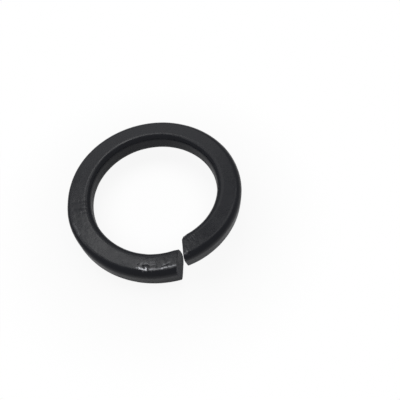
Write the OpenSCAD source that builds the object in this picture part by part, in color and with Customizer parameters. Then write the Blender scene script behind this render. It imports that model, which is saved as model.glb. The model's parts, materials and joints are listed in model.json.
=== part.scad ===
// Spring lock washer: one coil of square wire with well rounded edges, cut through on a
// slant and sprung open, so that one sharp edge of each end bites as a screw is turned back.
// Z is the axis of the bore. The lowest edge is at z = 0 and the gap faces -Y.

/* [Wire] */
// Width of the wire, from the bore outwards
wire_w = 8; // [7:0.1:9]
// Height of the wire, along the bore
wire_h = 8; // [7:0.1:9]

/* [Rounded edges] */
// Radius of the outer upper edge
outer_top_r = 2.3; // [1:0.1:3.2]
// Radius of the inner upper edge
inner_top_r = 2.2; // [1:0.1:3.2]
// Radius of the inner lower edge
inner_bottom_r = 3.4; // [1:0.1:3.6]
// Radius of the outer lower edge
outer_bottom_r = 2.6; // [1:0.1:3.2]

/* [Edges at the cut ends] */
// Radius of the inner upper edge at the lower end, which the shear leaves squarer
lower_end_inner_top_r = 1.1; // [0.5:0.1:3.2]
// Radius of the outer lower edge at the lower end, which the shear leaves squarer
lower_end_outer_bottom_r = 1; // [0.5:0.1:3.2]
// Radius of the outer lower edge at the upper end, which the shear rolls over
upper_end_outer_bottom_r = 3.3; // [1:0.1:3.3]
// Turn of the coil over which the edges change towards the lower end
lower_fade = 45; // [10:5:90]
// Turn of the coil over which the edge changes towards the upper end
upper_fade = 20; // [10:5:90]

/* [Coil] */
// Diameter of the bore
bore_d = 42.5; // [36:0.5:50]
// Free height, over the lower and the upper end
free_h = 16; // [14:0.1:19]
// Gap between the two ends, along the middle of the wire
gap = 2.2; // [1:0.1:6]

/* [Cut ends] */
// Lean of both cuts from upright, which brings the two biting edges forward
cut_lean = 11; // [0:1:20]
// Turn of the lower end's cut from the radius, inner edge forward
lower_cut_turn = 23.5; // [0:0.5:30]
// Turn of the upper end's cut from the radius, outer edge forward
upper_cut_turn = 20; // [0:0.5:30]

/* [Smoothness] */
// Steps along the coil
coil_steps = 120; // [60:10:180]
// Steps round each edge of the wire
edge_steps = 6; // [3:1:8]

/* [Hidden] */

// Clearance past a face for a cut
past = 1;
// Stock on the two upright walls, which the bore and the turned outside take off
stock = 0.05;

bore_r = bore_d / 2;
outer_r = bore_r + wire_w;
mid_r = bore_r + wire_w / 2;

// Travel is the angle in degrees from the middle of the gap, clockwise from above.
half_gap = gap / mid_r * 90 / PI;
coil_travel = 360 - 2 * half_gap;

// The coil climbs clockwise, so that it's left-handed, as a right-hand thread needs.
low_travel = travel(0, [bore_r + inner_bottom_r, 0]);
high_travel = travel(1, [outer_r - outer_top_r, wire_h]);
climb = (free_h - wire_h) / (high_travel - low_travel);

// Travel of the middle of the slice at share u of the coil, from the lower end to the upper
function slice_travel(u) = half_gap + coil_travel * u;

// Nearness of that slice to the lower and to the upper end, from 0 where the fade starts
function near_lower(u) = pow(max(0, 1 - slice_travel(u) / lower_fade), 2);
function near_upper(u) = pow(max(0, 1 - (360 - slice_travel(u)) / upper_fade), 2);

// Points of a quarter circle round a corner, from angle a
function corner(x, z, r, a) = [
    for (k = [0:edge_steps])
        [x + r * cos(a + 90 * k / edge_steps), z + r * sin(a + 90 * k / edge_steps)]
];

// Cross section of the wire as [distance from the axis, height above the underside]
function wire_section(inner, outer, u) =
    let (
        ot = outer_top_r,
        it = inner_top_r + (lower_end_inner_top_r - inner_top_r) * near_lower(u),
        ib = inner_bottom_r,
        ob = outer_bottom_r
            + (lower_end_outer_bottom_r - outer_bottom_r) * near_lower(u)
            + (upper_end_outer_bottom_r - outer_bottom_r) * near_upper(u)
    )
    concat(
        corner(outer - ot, wire_h - ot, ot, 0),
        corner(inner + it, wire_h - it, it, 90),
        corner(inner + ib, ib, ib, 180),
        corner(outer - ob, ob, ob, 270)
    );

// Turn of the cut from the radius at share u of the coil
function cut_turn(u) = lower_cut_turn + (upper_cut_turn - lower_cut_turn) * u;

// Angle by which a cut that leans and turns passes its own middle at section point p
function cut_lead(p, turn) =
    asin((tan(turn) * mid_r - tan(cut_lean) * (p[1] - wire_h / 2)) * cos(turn) / p[0]) - turn;

// Travel of section point p in the slice at share u
function travel(u, p) = slice_travel(u) - cut_lead(p, cut_turn(u));

// Place of section point p at travel t, with the gap towards -Y
function place(t, p) = [
    p[0] * cos(-90 - t),
    p[0] * sin(-90 - t),
    p[1] + climb * (t - low_travel)
];

// The wire as slices from end to end, each parallel to the cut nearest to it
module coil(inner, outer) {
    n = 4 * (edge_steps + 1);
    points = [
        for (i = [0:coil_steps])
            let (u = i / coil_steps)
                for (p = wire_section(inner, outer, u))
                    place(travel(u, p), p)
    ];
    skin = [
        for (i = [0:coil_steps - 1])
            for (k = [0:n - 1])
                let (a = i * n + k, b = i * n + (k + 1) % n)
                    for (face = [[a, b, b + n], [a, b + n, a + n]])
                        face
    ];
    ends = [
        [for (k = [0:n - 1]) n - 1 - k],
        [for (k = [0:n - 1]) coil_steps * n + k]
    ];
    polyhedron(points, concat(skin, ends), convexity = 10);
}

module lock_washer() {
    color([0.15, 0.15, 0.16])
        difference() {
            intersection() {
                coil(bore_r - stock, outer_r + stock);
                translate([0, 0, -past])
                    cylinder(h = free_h + 2 * past, r = outer_r, $fn = 240);
            }
            translate([0, 0, -past])
                cylinder(h = free_h + 2 * past, r = bore_r, $fn = 240);
        }
}

lock_washer();
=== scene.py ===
"""Spring lock washer in black electrocoat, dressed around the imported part.

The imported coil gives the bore, the outside, the free height and the place. The wire is drawn
again as one dense skin, so that its edges, its cut ends, its marks and the lumps in its coating
are real shapes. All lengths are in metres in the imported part's own frame: Z is the axis of the
bore and the gap faces -Y.
"""

import json
import math

import bmesh
import bpy
from mathutils import Matrix, Vector, kdtree, noise


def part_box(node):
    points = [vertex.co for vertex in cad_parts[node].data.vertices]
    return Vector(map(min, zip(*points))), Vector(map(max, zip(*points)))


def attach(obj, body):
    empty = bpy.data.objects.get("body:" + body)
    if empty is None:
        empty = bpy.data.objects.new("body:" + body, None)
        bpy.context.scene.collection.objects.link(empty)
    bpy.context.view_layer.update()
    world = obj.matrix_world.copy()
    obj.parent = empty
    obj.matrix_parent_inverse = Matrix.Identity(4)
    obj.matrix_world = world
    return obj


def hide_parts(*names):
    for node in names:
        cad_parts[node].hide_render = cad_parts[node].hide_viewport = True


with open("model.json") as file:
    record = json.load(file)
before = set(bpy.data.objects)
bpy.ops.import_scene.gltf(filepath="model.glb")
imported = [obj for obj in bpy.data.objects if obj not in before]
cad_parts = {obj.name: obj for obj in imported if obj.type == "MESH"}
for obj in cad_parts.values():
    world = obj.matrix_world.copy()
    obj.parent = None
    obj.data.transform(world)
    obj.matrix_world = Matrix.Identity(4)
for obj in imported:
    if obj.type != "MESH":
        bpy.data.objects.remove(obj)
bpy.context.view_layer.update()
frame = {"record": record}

MM = 0.001
FULL_TURN = 2 * math.pi
NODE = "lock_washer"

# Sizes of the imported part

low_corner, high_corner = (Vector(corner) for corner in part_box(NODE))
FREE_HEIGHT = high_corner.z - low_corner.z
OUTER_RADIUS = (high_corner.x - low_corner.x) / 2
BORE_RADIUS = next(
    mount["dims"]["r_mm"] for mount in frame["record"]["mounts"] if mount["name"] == "bore"
) * MM
WIRE = OUTER_RADIUS - BORE_RADIUS
MIDDLE_RADIUS = BORE_RADIUS + WIRE / 2

# Sizes of the wire

# Turn of the coil over which the rounding of the long edges changes towards each end
LOWER_FADE = math.radians(45)
UPPER_FADE = math.radians(20)
# Rounding of the four long edges along the coil, at its lower end and at its upper end. The
# shear leaves two edges squarer and rolls one over, and the inner upper edge starts to change
# sooner. On the left of the coil the two upper edges are sharper by the last value.
OUTER_TOP = dict(along=2.3 * MM, lower_end=2.3 * MM, upper_end=1.8 * MM,
                 lower_fade=LOWER_FADE, sharper=1.0 * MM)
INNER_TOP = dict(along=2.2 * MM, lower_end=1.0 * MM, upper_end=2.2 * MM,
                 lower_fade=math.radians(85), sharper=0.2 * MM)
INNER_BOTTOM = dict(along=3.4 * MM, lower_end=3.4 * MM, upper_end=3.4 * MM,
                    lower_fade=LOWER_FADE, sharper=0)
OUTER_BOTTOM = dict(along=2.6 * MM, lower_end=1.0 * MM, upper_end=3.3 * MM,
                    lower_fade=LOWER_FADE, sharper=0)
# Travel is the angle from the middle of the gap, clockwise from above. The sharper stretch on
# the left comes in over the first two travels and goes out over the second two.
SHARPER_FROM = (math.radians(48), math.radians(88))
SHARPER_TO = (math.radians(135), math.radians(175))
# Over most of that stretch the outer wall leans in towards the top
LEAN_IN = 0.4 * MM
LEAN_FROM = (math.radians(84), math.radians(106))
# The top of the wire is crowned near the lower end: it drops by 0.0175 mm at one millimetre
# from the middle of the flat, and by the square of the distance beyond that. The crown fades
# over this turn of the coil.
CROWN = 0.0175 / MM
CROWN_MIDDLE = 24.9 * MM
CROWN_FADE = (math.radians(36), math.radians(52))

# The two cuts: the gap along the middle of the wire, their lean and their turn. The gap is a
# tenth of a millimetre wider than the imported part's, to show as open as the real one.
GAP = 2.3 * MM
CUT_LEAN = math.radians(11)
LOWER_CUT_TURN = math.radians(23.5)
UPPER_CUT_TURN = math.radians(20)
GAP_DIRECTION = -math.pi / 2
HALF_GAP = GAP / MIDDLE_RADIUS / 2
COIL_TURN = FULL_TURN - 2 * HALF_GAP
# The rim of a sheared face is blunt
RIM_BREAK = 0.12 * MM

# Fineness of the skin

# Slices of the coil, 0.28 mm long on average. At the ends they are shorter by this share, and
# at the back longer by as much.
SLICES = 560
CLOSER = 0.3
# Segments round each long edge and round the rim of a sheared face
EDGE_SEGMENTS = 12
RIM_SEGMENTS = 4
# Steps across the flats of the wire, finer on the top, which carries the marks. What is longer
# than the last value is a flat.
FLAT_STEP = 0.5 * MM
TOP_STEP = 0.2 * MM
SHORTEST_FLAT = 0.8 * MM
# Widths of the rings into which a sheared face is divided
FACE_RINGS = (0.05 * MM, 0.35 * MM, 0.35 * MM)

# Marks on the top of the wire. Each is a stroke through points given as travel in degrees and
# distance from the axis in mm, then its half width and depth in mm, and how bare the steel is
# rubbed along it, or below zero how dull the coating is. A depth below zero is a ridge.
MARKS = (
    # A rubbed patch on the outer edge near the lower end, with its burr, nick and crease
    (((30.2, 26.7), (28.9, 26.8), (27.5, 26.9), (26.2, 27.0)), 0.60, 0.03, 0.85),
    (((26.0, 27.35), (26.3, 26.9)), 0.36, 0.02, 0.60),
    (((26.2, 27.0), (26.4, 26.2)), 0.30, -0.02, 0.70),
    (((27.6, 26.0), (27.3, 26.6)), 0.30, 0.08, -0.70),
    (((27.3, 26.6), (26.7, 26.95)), 0.20, 0.06, -0.70),
    (((25.0, 26.3), (24.8, 27.2)), 0.22, 0.10, -0.55),
    (((30.7, 25.6), (28.8, 25.05), (26.0, 24.95), (24.5, 25.1)), 0.36, -0.02, 0.22),
    (((27.6, 25.85), (25.4, 25.75), (24.0, 26.1)), 0.42, 0.11, -0.20),
    (((31.4, 25.5), (31.3, 25.6)), 0.40, 0.10, 0),
    # A thin worn line from there to the lower end
    (((24.3, 26.95), (21.7, 26.8), (18.0, 26.85)), 0.46, 0.02, 0.42),
    (((16.4, 26.8), (15.1, 26.7), (13.8, 26.55), (11.8, 26.65), (9.8, 26.55), (6.3, 26.65)),
     0.38, 0.02, 0.60),
    (((15.6, 26.75), (13.8, 26.55), (12.2, 26.6)), 0.34, 0, 0.25),
    (((11.9, 26.5), (11.7, 26.6)), 0.26, 0.05, -0.35),
    # Scuffs and shallow dents beside it
    (((15.2, 25.85), (12.8, 25.57), (10.6, 25.27), (9.8, 25.1)), 0.38, 0.03, 0.30),
    (((14.6, 26.25), (12.6, 26.05), (10.4, 25.8)), 0.34, 0.07, -0.40),
    (((23.2, 24.5), (20.4, 24.5)), 0.45, -0.03, 0.20),
    (((23.1, 25.3), (19.0, 25.5)), 0.36, -0.02, 0.14),
    (((21.8, 25.9), (18.2, 26.1)), 0.30, 0.04, -0.30),
    # Dull cross marks of the coiling rolls on the left
    (((103.0, 26.4), (100.6, 26.0)), 2.20, 0.02, -0.35),
    (((104.9, 27.3), (104.4, 24.8)), 0.90, 0.05, -0.40),
    (((99.4, 26.6), (98.6, 24.7)), 0.80, 0.05, -0.50),
    (((104.8, 24.6), (105.0, 22.5)), 0.45, 0.05, -0.80),
    (((101.9, 24.5), (101.8, 22.6)), 0.42, 0.04, -0.60),
    (((98.7, 24.8), (98.3, 22.6)), 0.45, 0.05, -0.80),
    (((95.2, 24.2), (94.8, 23.3)), 0.50, 0.04, -0.60),
    # A light streak on the outer edge in front of them: a painted highlight, drawn as lightly
    #     # rubbed bare steel
    (((88.8, 27.7), (85.6, 27.45), (83.0, 27.45), (79.5, 27.6)), 0.44, 0.02, 0.20),
    # Grip lines on the upper end, with the bare ridges between them
    (((353.4, 22.4), (352.7, 24.2)), 0.26, 0.13, -0.90),
    (((351.7, 22.3), (351.1, 24.1)), 0.26, 0.13, -0.90),
    (((350.0, 22.2), (349.5, 24.0)), 0.26, 0.13, -0.90),
    (((348.3, 22.2), (347.9, 23.8)), 0.26, 0.13, -0.90),
    (((352.6, 22.5), (352.0, 24.1)), 0.22, 0, 0.16),
    (((350.9, 22.4), (350.4, 24.0)), 0.22, 0, 0.16),
    (((349.2, 22.4), (348.8, 23.8)), 0.22, 0, 0.16),
    # A chip in the outer edge at the upper end, with a bare lip
    (((357.3, 27.1), (359.0, 27.6)), 0.40, -0.03, 0.34),
    (((358.4, 28.1), (356.8, 27.9)), 0.50, 0.20, 0),
)
# Their sides are ragged by this share, with this grain
RAGGED = 0.9
RAGGED_GRAIN = 0.6 * MM
RAGGED_START = (4, 1, 8)

# Tips that the shear drags over: travel in degrees, distance from the axis, height and reach
# in mm, and how far the tip goes outwards and up along the coil in mm
TIPS = (
    (-0.8, 21.5, 6.8, 2.2, 0.30, 0.12),
    (-1.3, 22.4, 3.2, 2.6, 0, 0.2),
    (354.8, 21.9, 7.2, 1.9, 0.42, 0),
)

# Lumps of the steel and its coating: their grain, their height and where their noise starts
BROAD_LUMPS = (7 * MM, 0.03 * MM, (0, 0, 0))
SOFT_LUMPS = (2.2 * MM, 0.015 * MM, (7, 3, 1))
# Small dents of the scuffed area round the rubbed patch, and its middle and reach
SCUFF_DENTS = (1.1 * MM, 0.035 * MM, (2, 9, 4))
SCUFF_TRAVEL = math.radians(19)
SCUFF_RADIUS = 25.0 * MM
SCUFF_REACH = 7.5 * MM


def cut_lead(radius, height, turn):
    """Angle by which a cut that leans and turns passes its own middle at a section point."""
    reach = math.tan(turn) * MIDDLE_RADIUS - math.tan(CUT_LEAN) * (height - WIRE / 2)
    return math.asin(reach * math.cos(turn) / radius) - turn


# The free height lies between the tips that stand furthest down and up
LOWEST_TRAVEL = HALF_GAP - cut_lead(BORE_RADIUS + INNER_BOTTOM["lower_end"], 0, LOWER_CUT_TURN)
HIGHEST_TRAVEL = (FULL_TURN - HALF_GAP
                  - cut_lead(OUTER_RADIUS - OUTER_TOP["upper_end"], WIRE, UPPER_CUT_TURN))
CLIMB = (FREE_HEIGHT - WIRE) / (HIGHEST_TRAVEL - LOWEST_TRAVEL)


# Colours and nodes

def linear(code):
    """Scene colour of an sRGB hex code."""
    parts = [int(code[i:i + 2], 16) / 255 for i in (1, 3, 5)]
    return [p / 12.92 if p <= 0.04045 else ((p + 0.055) / 1.055) ** 2.4 for p in parts] + [1]


def add(tree, kind, settings=None, **links):
    """Adds a node, sets its properties and inputs, and links the inputs given a socket. An
    input goes by its name, as From_Min for From Min, or by its number, as _0 for the first."""
    node = tree.nodes.new(kind)
    for name, value in (settings or {}).items():
        setattr(node, name, value)
    for name, value in links.items():
        key = int(name[1:]) if name[0] == "_" else name.replace("_", " ")
        if isinstance(value, bpy.types.NodeSocket):
            tree.links.new(value, node.inputs[key])
        else:
            node.inputs[key].default_value = value
    return node


def new_material(name):
    material = bpy.data.materials.new(name)
    material.use_nodes = True
    material.node_tree.nodes.clear()
    return material, material.node_tree


# Coating

# Patches of more and less gloss, with what they take off the roughness and add to it between
# the usual lowest and highest value of their noise
PATCH_SIZE = 6 * MM
GLOSSIER = 0.05
DULLER = 0.07
NOISE_LOW = 0.3
NOISE_HIGH = 0.7
# Soft lumps where the coat has flowed, and its orange peel
LUMP_SIZE = 1.6 * MM
PEEL_SIZE = 0.45 * MM
# The weak sheen of the thin coat. A clear resin has 1.5.
COAT_IOR = 1.38
# Roughness that a fully dulled mark adds
DULLING = 0.35
BARE_STEEL = "#8d8e91"


def electrocoat(name, colours, roughness, lump_height, peel_height):
    """Black electrocoat on rolled spring steel: a thin, even, semi-gloss skin that flows round
    the edges, so it shows soft lumps, a faint orange peel and slightly uneven gloss. Where a
    mark has dulled it, it shines less, and where it is rubbed through, the bare steel shows."""
    material, tree = new_material(name)
    coords = add(tree, "ShaderNodeTexCoord").outputs["Object"]
    patches = add(tree, "ShaderNodeTexNoise", Vector=coords, Scale=1 / PATCH_SIZE, Detail=3.0,
                  Roughness=0.55)
    gloss = add(tree, "ShaderNodeMapRange", Value=patches.outputs["Fac"],
                From_Min=NOISE_LOW, From_Max=NOISE_HIGH,
                To_Min=roughness - GLOSSIER, To_Max=roughness + DULLER)
    # Inputs 6 and 7 of a Mix node are its two colours, and output 2 is the mixed one
    shade = add(tree, "ShaderNodeMix", {"data_type": "RGBA"}, _0=patches.outputs["Fac"],
                _6=linear(colours[0]), _7=linear(colours[1]))
    lumps = add(tree, "ShaderNodeTexNoise", Vector=coords, Scale=1 / LUMP_SIZE, Detail=2.0,
                Roughness=0.5)
    peel = add(tree, "ShaderNodeTexNoise", Vector=coords, Scale=1 / PEEL_SIZE, Detail=2.0,
               Roughness=0.5)
    swell = add(tree, "ShaderNodeBump", Strength=1.0, Distance=lump_height,
                Height=lumps.outputs["Fac"])
    skin = add(tree, "ShaderNodeBump", Strength=1.0, Distance=peel_height,
               Height=peel.outputs["Fac"], Normal=swell.outputs["Normal"])
    # The attribute is above zero where the steel is bare, and on one streak where bare steel
    #     # stands in for a painted highlight, and below zero where the coat is dull
    wear_and_sheen = add(tree, "ShaderNodeAttribute", {"attribute_name": "wear_and_sheen"}).outputs["Fac"]
    bare = add(tree, "ShaderNodeMath", {"operation": "MAXIMUM"}, _0=wear_and_sheen, _1=0.0).outputs[0]
    dull = add(tree, "ShaderNodeMath", {"operation": "MINIMUM"}, _0=wear_and_sheen, _1=0.0).outputs[0]
    rough = add(tree, "ShaderNodeMath", {"operation": "MULTIPLY_ADD"}, _0=dull, _1=-DULLING,
                _2=gloss.outputs["Result"])
    rubbed = add(tree, "ShaderNodeMix", {"data_type": "RGBA"}, _0=bare, _6=shade.outputs[2],
                 _7=linear(BARE_STEEL))
    shader = add(tree, "ShaderNodeBsdfPrincipled", Base_Color=rubbed.outputs[2], Metallic=bare,
                 Roughness=rough.outputs[0], Normal=skin.outputs["Normal"], IOR=COAT_IOR)
    add(tree, "ShaderNodeOutputMaterial", Surface=shader.outputs["BSDF"])
    return material


# The wire

# Place of the sheared faces' material in the list of the mesh
SHEARED = 1


def wire_outline(bm):
    """The wire's cross section as a closed outline, standing at angle 0, in the XZ plane."""
    corners = (
        (OUTER_RADIUS, 0, OUTER_BOTTOM),
        (OUTER_RADIUS, WIRE, OUTER_TOP),
        (BORE_RADIUS, WIRE, INNER_TOP),
        (BORE_RADIUS, 0, INNER_BOTTOM),
    )
    verts = [bm.verts.new((x, 0, z)) for x, z, _ in corners]
    bm.faces.new(verts)
    for vert, (_, _, edge) in zip(verts, corners):
        bmesh.ops.bevel(bm, geom=[vert], offset=edge["along"], offset_type="OFFSET",
                        segments=EDGE_SEGMENTS, profile=0.5, affect="VERTICES", material=-1)
    bmesh.ops.delete(bm, geom=list(bm.faces), context="FACES_ONLY")
    for flat in [e for e in bm.edges if e.calc_length() > SHORTEST_FLAT]:
        on_top = all(vert.co.z > WIRE - TOP_STEP for vert in flat.verts)
        cuts = int(flat.calc_length() / (TOP_STEP if on_top else FLAT_STEP))
        bmesh.ops.subdivide_edges(bm, edges=[flat], cuts=cuts)
    return list(bm.verts) + list(bm.edges)


def ramp(value, start, end):
    """Smooth step from 0 at the start to 1 at the end."""
    share = min(1, max(0, (value - start) / (end - start)))
    return share * share * (3 - 2 * share)


def on_the_left(travel, start):
    """Share from 0 to 1 of what the left of the coil has and the rest hasn't."""
    return ramp(travel, *start) - ramp(travel, *SHARPER_TO)


def radius_at(edge, travel):
    """Rounding of one long edge at a travel along the coil."""
    along = edge["along"]
    near_lower = max(0, 1 - travel / edge["lower_fade"]) ** 2
    near_upper = max(0, 1 - (FULL_TURN - travel) / UPPER_FADE) ** 2
    radius = along + (edge["lower_end"] - along) * near_lower
    radius += (edge["upper_end"] - along) * near_upper
    return radius - edge["sharper"] * on_the_left(travel, SHARPER_FROM)


def reround(radius, height, travel):
    """Moves a point of the plain cross section to the section at this travel."""
    half = WIRE / 2
    outer = radius > MIDDLE_RADIUS
    top = height > half
    if outer:
        edge = OUTER_TOP if top else OUTER_BOTTOM
    else:
        edge = INNER_TOP if top else INNER_BOTTOM
    plain = edge["along"]
    new = radius_at(edge, travel)
    # Distances from the section's sharp corner, along the width and the height
    across = half - abs(radius - MIDDLE_RADIUS)
    down = half - abs(height - half)
    # A point of the arc moves with the corner, and one of a flat keeps its share of the flat
    if max(across, down) < plain:
        across, down = across * new / plain, down * new / plain
    elif across > down:
        across = half - (half - across) * (half - new) / (half - plain)
    else:
        down = half - (half - down) * (half - new) / (half - plain)
    side = 1 if outer else -1
    rise = 1 if top else -1
    return MIDDLE_RADIUS + side * (half - across), half + rise * (half - down)


def climb_at(travel):
    return CLIMB * (travel - LOWEST_TRAVEL)


def place(travel, radius, height):
    """Point of the coil, from its travel, radius and height above the underside."""
    angle = GAP_DIRECTION - travel
    return Vector((radius * math.cos(angle), radius * math.sin(angle),
                   height + climb_at(travel)))


def above_middle(height):
    """Share from 0 at the wire's middle to 1 at its top."""
    return max(0, 2 * height / WIRE - 1)


def crown(travel, radius, height):
    """Drop of the crowned top of the wire."""
    share = above_middle(height) * (1 - ramp(travel, *CROWN_FADE))
    return CROWN * (radius - CROWN_MIDDLE) ** 2 * share


def shape_slices(bm):
    """Gives each slice of the coil its own section, and slides its points along their helix
    until the slice lies parallel to the cuts."""
    for vert in bm.verts:
        travel = (GAP_DIRECTION - math.atan2(vert.co.y, vert.co.x)) % FULL_TURN
        height = vert.co.z - climb_at(travel)
        # The slices move closer to the ends
        share = (travel - HALF_GAP) / COIL_TURN
        share -= CLOSER * math.sin(share * FULL_TURN) / FULL_TURN
        travel = HALF_GAP + COIL_TURN * share
        radius, height = reround(vert.co.xy.length, height, travel)
        outwards = max(0, (radius - MIDDLE_RADIUS) / (WIRE / 2))
        radius -= LEAN_IN * on_the_left(travel, LEAN_FROM) * outwards * above_middle(height)
        turn = LOWER_CUT_TURN + (UPPER_CUT_TURN - LOWER_CUT_TURN) * share
        travel -= cut_lead(radius, height, turn)
        vert.co = place(travel, radius, height - crown(travel, radius, height))


def close_end(bm, rim):
    """Closes an end of the coil with the sheared face."""
    end = bmesh.ops.contextual_create(bm, geom=rim)["faces"][0]
    end.material_index = SHEARED
    return end


def finish_end(bm, end):
    """Rounds the rim of a sheared face and divides the face for its own unevenness."""
    middle = end.calc_center_median()
    rim = bmesh.ops.bevel(bm, geom=list(end.edges), offset=RIM_BREAK, offset_type="OFFSET",
                          segments=RIM_SEGMENTS, profile=0.5, affect="EDGES", material=-1)
    for face in rim["faces"]:
        face.material_index = SHEARED
    near = [f for f in bm.faces if f.material_index == SHEARED
            and (f.calc_center_median() - middle).length < WIRE / 2]
    end = max(near, key=lambda f: f.calc_area())
    for thickness in FACE_RINGS:
        bmesh.ops.inset_individual(bm, faces=[end], thickness=thickness, use_even_offset=True)
    bmesh.ops.poke(bm, faces=[end])


def top_point(travel, radius):
    """Point on the top of the wire."""
    edge = radius_at(OUTER_TOP if radius > MIDDLE_RADIUS else INNER_TOP, travel)
    over = max(0, edge - WIRE / 2 + abs(radius - MIDDLE_RADIUS))
    return place(travel, radius, WIRE - edge + math.sqrt(edge ** 2 - over ** 2))


def distance_to_stroke(point, stroke):
    nearest = math.inf
    for start, end in zip(stroke, stroke[1:]):
        along = end - start
        share = min(1, max(0, (point - start).dot(along) / along.length_squared))
        nearest = min(nearest, (start + along * share - point).length)
    return nearest


def grain(point, size, start):
    """Soft noise between -1 and 1 with grains of this size."""
    return noise.noise(point / size + Vector(start))


def press_marks(bm, skin):
    """Presses the marks into the skin and rubs it there."""
    wear_and_sheen = bm.verts.layers.float.new("wear_and_sheen")
    bm.verts.ensure_lookup_table()
    for points, width, depth, rubbed in MARKS:
        stroke = [top_point(math.radians(travel), radius * MM) for travel, radius in points]
        middle = sum(stroke, Vector()) / len(stroke)
        # Its ragged sides reach out up to twice the half width
        reach = max((point - middle).length for point in stroke) + 2 * width * MM
        for co, index, _ in skin.find_range(middle, reach):
            ragged = 1 + RAGGED * grain(co, RAGGED_GRAIN, RAGGED_START)
            away = distance_to_stroke(co, stroke) / (width * MM) * ragged
            share = max(0, 1 - away ** 2) ** 2
            vert = bm.verts[index]
            vert.co -= vert.normal * (depth * MM * share)
            vert[wear_and_sheen] += rubbed * share
    for vert in bm.verts:
        vert[wear_and_sheen] = min(1, max(-1, vert[wear_and_sheen]))


def drag_tips(bm, skin):
    """Drags the tips of the sheared ends over."""
    for travel, radius, height, reach, outwards, upwards in TIPS:
        tip = place(math.radians(travel), radius * MM, height * MM)
        angle = GAP_DIRECTION - math.radians(travel)
        drag = Vector((math.cos(angle), math.sin(angle), 0)) * (outwards * MM)
        drag += Vector((math.sin(angle), -math.cos(angle), 0)) * (upwards * MM)
        for _, index, distance in skin.find_range(tip, reach * MM):
            bm.verts[index].co += drag * (1 - (distance / (reach * MM)) ** 2) ** 2


def mark(bm):
    """Marks the skin and drags its tips over. Each point is found by its place before that."""
    bm.normal_update()
    skin = kdtree.KDTree(len(bm.verts))
    for index, vert in enumerate(bm.verts):
        skin.insert(vert.co, index)
    skin.balance()
    press_marks(bm, skin)
    drag_tips(bm, skin)


def lump(point, size, height, start):
    """Height of the lumps at a point, most of it below the plain skin."""
    return (grain(point, size, start) - 0.5) * height


def coat(bm):
    """Soft lumps of the steel and its coating, up to about a tenth of a millimetre deep."""
    bm.normal_update()
    scuff = top_point(SCUFF_TRAVEL, SCUFF_RADIUS)
    moves = []
    for vert in bm.verts:
        # The dents are at their full depth from half the reach inwards
        near_scuff = ramp(1 - (vert.co - scuff).length / SCUFF_REACH, 0, 0.5)
        height = lump(vert.co, *BROAD_LUMPS) + lump(vert.co, *SOFT_LUMPS)
        height += lump(vert.co, *SCUFF_DENTS) * near_scuff
        moves.append((vert, vert.normal * height))
    for vert, move in moves:
        vert.co += move
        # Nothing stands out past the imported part's outside
        vert.co.xy /= max(1, vert.co.xy.length / OUTER_RADIUS)
        vert.co.z = min(high_corner.z, max(low_corner.z, vert.co.z))


def build_washer():
    bm = bmesh.new()
    outline = wire_outline(bm)
    bmesh.ops.translate(bm, vec=(0, 0, climb_at(HALF_GAP)), verts=bm.verts)
    bmesh.ops.rotate(bm, cent=(0, 0, 0), verts=bm.verts,
                     matrix=Matrix.Rotation(GAP_DIRECTION - HALF_GAP, 3, "Z"))
    lower_rim = [item for item in outline if isinstance(item, bmesh.types.BMEdge)]
    last = bmesh.ops.spin(bm, geom=outline, cent=(0, 0, 0), axis=(0, 0, 1),
                          dvec=(0, 0, CLIMB * COIL_TURN / SLICES), angle=-COIL_TURN,
                          steps=SLICES, use_merge=False, use_duplicate=False)["geom_last"]
    upper_rim = [item for item in last if isinstance(item, bmesh.types.BMEdge)]
    ends = [close_end(bm, lower_rim), close_end(bm, upper_rim)]
    shape_slices(bm)
    bmesh.ops.recalc_face_normals(bm, faces=bm.faces)
    for end in ends:
        finish_end(bm, end)
    mark(bm)
    coat(bm)
    for face in bm.faces:
        face.smooth = True
    mesh = bpy.data.meshes.new("coiled_wire")
    bm.to_mesh(mesh)
    bm.free()
    return mesh


washer_mesh = build_washer()
washer_mesh.materials.append(
    electrocoat("black_electrocoat", colours=("#0d0f17", "#12151d"), roughness=0.26,
                lump_height=0.05 * MM, peel_height=0.006 * MM))
# On the torn steel of the cuts the coat is greyer, duller and twice as uneven
washer_mesh.materials.append(
    electrocoat("black_electrocoat_on_sheared_steel", colours=("#1f2128", "#292b33"),
                roughness=0.48, lump_height=0.10 * MM, peel_height=0.012 * MM))
washer = bpy.data.objects.new("coiled_wire", washer_mesh)
bpy.context.collection.objects.link(washer)
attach(washer, "root")
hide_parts(NODE)


# Camera

# The camera looks down at the washer from in front at about 60 degrees. These are its turns
# about its own axes, and the place of the washer's middle as the camera sees it.
CAMERA_SWING = math.radians(22.17)
CAMERA_PITCH = -0.5317
CAMERA_YAW = -0.0133
CAMERA_ROLL = 0.0397
CAMERA_LENS = 37.28
WASHER_SEEN_RIGHT = -0.5284 * OUTER_RADIUS
WASHER_SEEN_UP = 0.0607 * OUTER_RADIUS
WASHER_SEEN_AHEAD = 4.8011 * OUTER_RADIUS


def place_camera():
    turn = (Matrix.Rotation(CAMERA_ROLL, 4, "Z") @ Matrix.Rotation(CAMERA_YAW, 4, "Y")
            @ Matrix.Rotation(CAMERA_PITCH, 4, "X") @ Matrix.Rotation(CAMERA_SWING, 4, "Z"))
    seen = Matrix.Translation((WASHER_SEEN_RIGHT, WASHER_SEEN_UP, -WASHER_SEEN_AHEAD))
    middle = Matrix.Translation((0, 0, -FREE_HEIGHT / 2))
    data = bpy.data.cameras.new("camera")
    data.lens = CAMERA_LENS
    data.clip_start = 0.01
    camera = bpy.data.objects.new("camera", data)
    camera.matrix_world = (seen @ turn @ middle).inverted()
    bpy.context.collection.objects.link(camera)
    bpy.context.scene.camera = camera


place_camera()


# Floor

# How far the floor reaches to each side
FLOOR_REACH = 2.0
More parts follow.
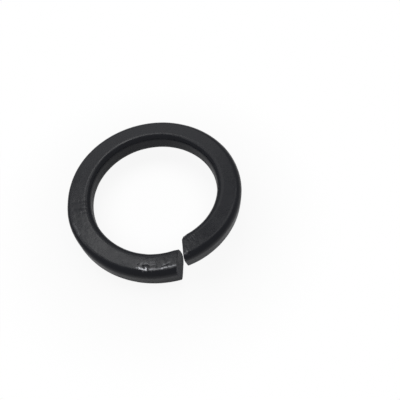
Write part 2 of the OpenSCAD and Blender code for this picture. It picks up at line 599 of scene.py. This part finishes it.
# Share of the floor that the camera sees as a white glow rather than lit paint, a painted light
# # over its shade: inside the bore, where it hides nearly all the washer's shadow, round the
# # washer, where its shadow comes through, and far out. It changes between these distances from
# # the axis.
WHITE_INSIDE = 0.97
WHITE_ROUND = 0.90
WHITE_FAR = 1.0
FADE_INSIDE = (10 * MM, 22 * MM)
FADE_OUTSIDE = (32 * MM, 65 * MM)


def white_floor():
    """White paint that shows the washer's shadow near it and goes over into pure white. A
    painted white glow that only the camera sees hides nearly all the shadow in the bore.
    """
    material, tree = new_material("white_floor")
    coords = add(tree, "ShaderNodeTexCoord").outputs["Object"]
    away = add(tree, "ShaderNodeVectorMath", {"operation": "LENGTH"}, _0=coords).outputs["Value"]
    inside = add(tree, "ShaderNodeMapRange", {"interpolation_type": "SMOOTHSTEP"}, Value=away,
                 From_Min=FADE_INSIDE[0], From_Max=FADE_INSIDE[1],
                 To_Min=WHITE_INSIDE, To_Max=WHITE_ROUND)
    outside = add(tree, "ShaderNodeMapRange", {"interpolation_type": "SMOOTHSTEP"}, Value=away,
                  From_Min=FADE_OUTSIDE[0], From_Max=FADE_OUTSIDE[1],
                  To_Min=WHITE_ROUND, To_Max=WHITE_FAR)
    whiteness = add(tree, "ShaderNodeMath", {"operation": "MAXIMUM"},
                    _0=inside.outputs["Result"], _1=outside.outputs["Result"])
    path = add(tree, "ShaderNodeLightPath")
    # The camera sees a painted white glow, strongest in the bore and far out, over the washer's
    # shade
    share = add(tree, "ShaderNodeMath", {"operation": "MULTIPLY"},
                _0=path.outputs["Is Camera Ray"], _1=whiteness.outputs[0])
    paint = add(tree, "ShaderNodeBsdfDiffuse", Color=linear("#fafafa"))
    white = add(tree, "ShaderNodeEmission", Color=linear("#ffffff"), Strength=1.0)
    mix = add(tree, "ShaderNodeMixShader", _0=share.outputs[0], _1=paint.outputs[0],
              _2=white.outputs[0])
    add(tree, "ShaderNodeOutputMaterial", Surface=mix.outputs[0])
    return material


def build_floor():
    bm = bmesh.new()
    bmesh.ops.create_grid(bm, x_segments=1, y_segments=1, size=FLOOR_REACH)
    bmesh.ops.translate(bm, vec=(0, 0, low_corner.z), verts=bm.verts)
    mesh = bpy.data.meshes.new("floor")
    bm.to_mesh(mesh)
    bm.free()
    mesh.materials.append(white_floor())
    floor = bpy.data.objects.new("floor", mesh)
    bpy.context.collection.objects.link(floor)


build_floor()


# Light

LAMP_DISTANCE = 0.6
WORLD_LIGHT = 0.42


def soft_light(name, zenith, azimuth, size, watts, depth=None):
    """A round or oblong soft lamp, turned to the washer. The zenith angle is taken from
    straight up, and the azimuth from +X towards +Y, which is behind."""
    data = bpy.data.lights.new(name, "AREA")
    data.shape = "RECTANGLE" if depth else "DISK"
    data.size = size
    if depth:
        data.size_y = depth
    data.energy = watts
    lamp = bpy.data.objects.new(name, data)
    turn = Matrix.Rotation(math.radians(azimuth + 90), 4, "Z")
    tilt = Matrix.Rotation(math.radians(zenith), 4, "X")
    lamp.matrix_world = turn @ tilt @ Matrix.Translation((0, 0, LAMP_DISTANCE))
    bpy.context.collection.objects.link(lamp)


def build_world():
    """A plain soft light from all sides that the camera sees as white."""
    world = bpy.data.worlds.new("studio")
    world.use_nodes = True
    bpy.context.scene.world = world
    tree = world.node_tree
    tree.nodes.clear()
    path = add(tree, "ShaderNodeLightPath")
    dim = add(tree, "ShaderNodeBackground", Color=linear("#ffffff"), Strength=WORLD_LIGHT)
    white = add(tree, "ShaderNodeBackground", Color=linear("#ffffff"), Strength=1.0)
    mix = add(tree, "ShaderNodeMixShader", _0=path.outputs["Is Camera Ray"], _1=dim.outputs[0],
              _2=white.outputs[0])
    add(tree, "ShaderNodeOutputWorld", Surface=mix.outputs[0])


soft_light("overhead_softbox", zenith=20, azimuth=90, size=0.22, watts=0.37)
soft_light("left_softbox", zenith=33, azimuth=145, size=0.26, watts=0.22)
soft_light("right_softbox", zenith=32, azimuth=25, size=0.26, watts=0.22)
soft_light("rear_bank", zenith=47, azimuth=93, size=0.60, watts=0.45, depth=0.28)
soft_light("highlight_lamp", zenith=7, azimuth=78, size=0.10, watts=0.16)
build_world()
bpy.context.scene.view_settings.view_transform = "Standard"
